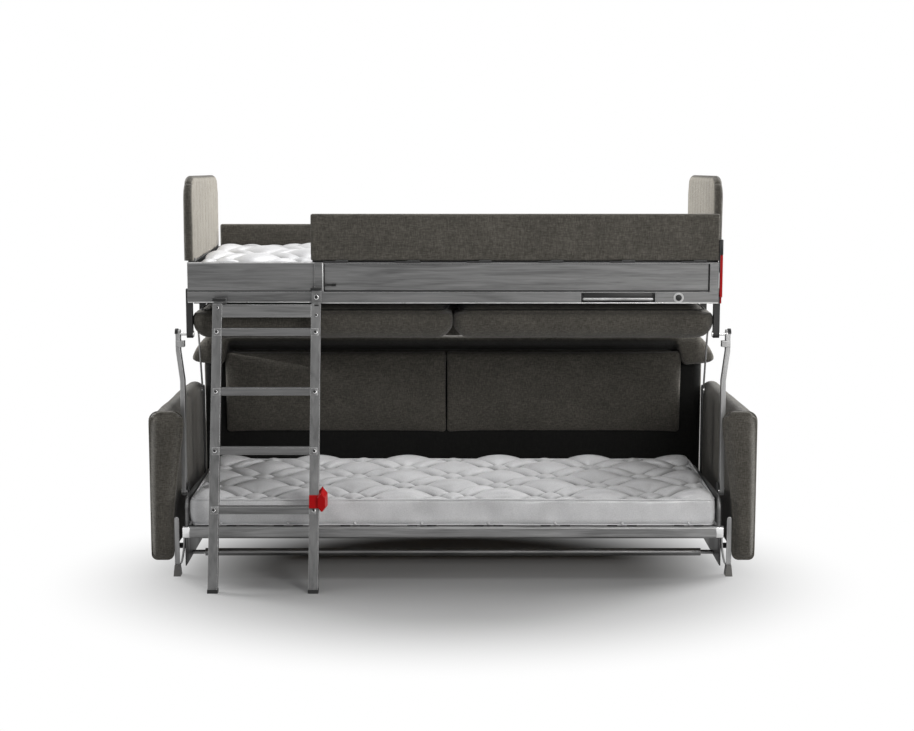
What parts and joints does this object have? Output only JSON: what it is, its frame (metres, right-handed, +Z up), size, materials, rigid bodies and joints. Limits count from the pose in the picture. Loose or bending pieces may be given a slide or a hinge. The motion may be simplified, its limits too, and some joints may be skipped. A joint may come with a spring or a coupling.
{
  "type": "sofa to bunk bed",
  "caption": "Fabric sofa that swings open into a bunk bed, shown open with its hooked ladder, hinged headboards and guard, and a steel linkage.",
  "frame": {"origin": "middle of the floor under the whole piece, ladder included, standing open as a bunk bed", "axes": "+X along the sofa to the viewer's right, +Y from its front to its back, +Z up"},
  "size_m": [2.1808, 1.209, 1.439],
  "materials": {
    "satin_steel": "satin grey paint with a fine brushed grain",
    "dark_steel": "dark satin paint",
    "bright_steel": "polished",
    "brushed_bright": "brushed",
    "upholstery": "taupe grey melange weave",
    "mattress_cloth": "quilted white ticking",
    "guard_cloth": "taupe grey melange weave",
    "slat_wood": "clear lacquer on bent laminate",
    "board": "black felted board",
    "black_plastic": "moulded",
    "red_plastic": "moulded",
    "foot_plastic": "moulded",
    "back_foot": "moulded"
  },
  "bodies": {
    "stand": {"side_plate_left": "satin_steel", "side_plate_right": "satin_steel", "base_pins": "bright_steel", "front_cross_tube": "satin_steel", "rear_cross_tube": "satin_steel", "front_legs": "satin_steel", "front_feet": "foot_plastic", "rear_feet": "back_foot", "arm_spacers": "satin_steel", "arm_left": "upholstery", "arm_right": "upholstery", "arm_pad_left": "upholstery", "arm_pad_right": "upholstery", "backrest": "upholstery", "back_hood": "upholstery", "back_cushion_left": "upholstery", "back_cushion_right": "upholstery"},
    "lower_bed": {"lower_front_rail": "satin_steel", "lower_rear_rail": "satin_steel", "lower_end_rails": "satin_steel", "lower_slats": "slat_wood", "lower_mattress": "mattress_cloth", "mattress_hoops": "bright_steel", "guide_pins": "bright_steel"},
    "front_levers": {"front_lever_left": "satin_steel", "front_lever_right": "satin_steel", "lever_caps": "black_plastic"},
    "rear_levers": {"rear_lever_left": "brushed_bright", "rear_lever_right": "brushed_bright"},
    "bunk": {"bunk_front_rail": "satin_steel", "bunk_rear_rail": "satin_steel", "bunk_end_rail_left": "satin_steel", "bunk_end_rail_right": "satin_steel", "bunk_board": "board", "bunk_slats": "slat_wood", "bunk_mattress": "mattress_cloth", "seat_cushion_left": "upholstery", "seat_cushion_right": "upholstery", "bunk_posts": "dark_steel", "bunk_pins": "bright_steel", "guard_frame": "satin_steel", "guard_hinge_fixed": "satin_steel", "rear_guard": "guard_cloth", "headboard_hinges": "satin_steel", "pull_handle": "brushed_bright", "lock_rosette": "bright_steel", "bunk_brackets": "dark_steel"},
    "front_guard": {"guard_panel": "guard_cloth", "guard_hinge_moving": "satin_steel"},
    "left_headboard": {"headboard_left": "upholstery"},
    "right_headboard": {"headboard_right": "upholstery"},
    "latch": {"guard_latch": "black_plastic"},
    "release": {"release_lever": "red_plastic"},
    "ladder": {"ladder_stile_left": "satin_steel", "ladder_stile_right": "satin_steel", "ladder_rungs": "satin_steel", "ladder_hooks": "satin_steel", "ladder_feet": "black_plastic", "ladder_lock_box": "red_plastic"},
    "lock": {"ladder_lock": "red_plastic"}
  },
  "joints": [
    {"name": "fold", "type": "hinge", "parent": "stand", "child": "front_levers", "pos_m": [0, -0.2425, 0.288], "axis": [-1, 0, 0], "range_deg": [0, 66.62]},
    {"name": "bunk_flip", "type": "hinge", "parent": "front_levers", "child": "bunk", "pos_m": [0, -0.2225, 0.866], "axis": [1, 0, 0], "range_deg": [0, 246.62]},
    {"name": "rear_lever_swing", "type": "hinge", "parent": "stand", "child": "rear_levers", "pos_m": [0, 0.2035, 0.592], "axis": [1, 0, 0], "range_deg": [0, 84.89]},
    {"name": "lower_bed_drop", "type": "slide", "parent": "stand", "child": "lower_bed", "axis": [0, 0, -1], "range_m": [0, 0.112]},
    {"name": "left_headboard_fold", "type": "hinge", "parent": "bunk", "child": "left_headboard", "pos_m": [-0.932, 0.094, 1.141], "axis": [0, 1, 0], "range_deg": [0, 90]},
    {"name": "right_headboard_fold", "type": "hinge", "parent": "bunk", "child": "right_headboard", "pos_m": [0.932, 0.094, 1.141], "axis": [0, -1, 0], "range_deg": [0, 90]},
    {"name": "guard_fold", "type": "hinge", "parent": "bunk", "child": "front_guard", "pos_m": [0.22, -0.2925, 1.1345], "axis": [1, 0, 0], "range_deg": [0, 180]},
    {"name": "ladder_away", "type": "slide", "parent": "stand", "child": "ladder", "axis": [0, -1, 0], "range_m": [0, 1]},
    {"name": "lock_turn", "type": "hinge", "parent": "ladder", "child": "lock", "pos_m": [-0.461, -0.50352, 0.309], "axis": [1, 0, 0], "range_deg": [-90, 0]},
    {"name": "release_pull", "type": "hinge", "parent": "bunk", "child": "release", "pos_m": [0.96, -0.282, 1.202], "axis": [-1, 0, 0], "range_deg": [0, 18]},
    {"name": "latch_draw", "type": "slide", "parent": "bunk", "child": "latch", "axis": [1, 0, 0], "range_m": [0, 0.01]}
  ],
  "couplings": [
    {"joint": "bunk_flip", "follows": "fold", "ratio": 3.7019},
    {"joint": "rear_lever_swing", "follows": "fold", "ratio": 1.2742},
    {"joint": "lower_bed_drop", "follows": "fold", "m_per_rad": 0.096323},
    {"joint": "left_headboard_fold", "follows": "fold", "ratio": 1.3509},
    {"joint": "right_headboard_fold", "follows": "fold", "ratio": 1.3509},
    {"joint": "guard_fold", "follows": "fold", "ratio": 2.7019},
    {"joint": "ladder_away", "follows": "fold", "m_per_rad": 0.86003}
  ]
}
